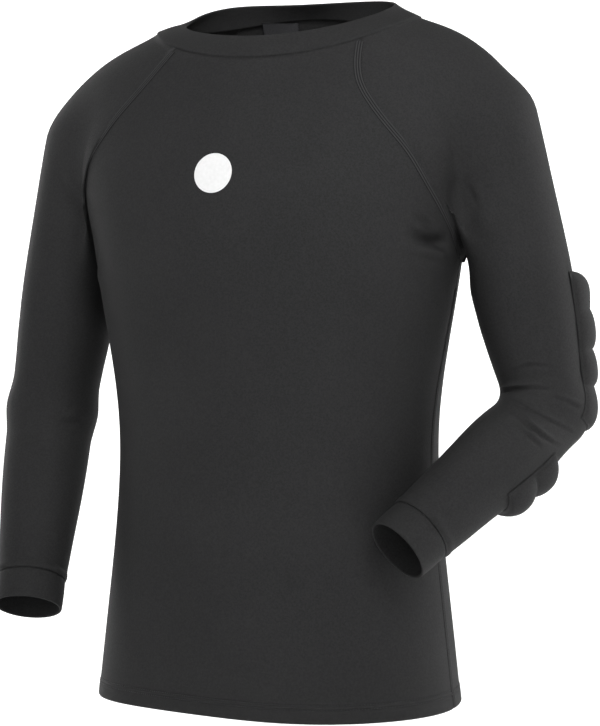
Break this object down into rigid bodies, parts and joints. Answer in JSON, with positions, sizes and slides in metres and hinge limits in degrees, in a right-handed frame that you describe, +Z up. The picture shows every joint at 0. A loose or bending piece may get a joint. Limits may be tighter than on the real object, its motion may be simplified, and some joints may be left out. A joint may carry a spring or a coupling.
{
  "type": "padded compression shirt",
  "caption": "Close-fitting black stretch shirt with raglan sleeves to below the elbow, a crew neckband and padded foam cells over the elbows, shown filled out as when worn.",
  "frame": {"origin": "middle of the neck opening, where a wearer's shoulders hold the shirt", "axes": "+Z up from the hem to the neck, +X towards the wearer's left sleeve, -Y out of the front"},
  "size_m": [0.6169, 0.2584, 0.6911],
  "materials": {
    "jersey": "satin",
    "band_cloth": "satin",
    "pad_cloth": "satin",
    "label_cloth": "matte"
  },
  "bodies": {
    "root": {"front": "jersey", "back": "jersey", "sleeve_left": "jersey", "sleeve_right": "jersey", "neckband": "band_cloth", "cuff_left": "band_cloth", "cuff_right": "band_cloth", "elbow_pad_left_upper": "pad_cloth", "elbow_pad_left_lower": "pad_cloth", "elbow_pad_right_upper": "pad_cloth", "elbow_pad_right_lower": "pad_cloth", "neck_label": "label_cloth"}
  },
  "joints": []
}
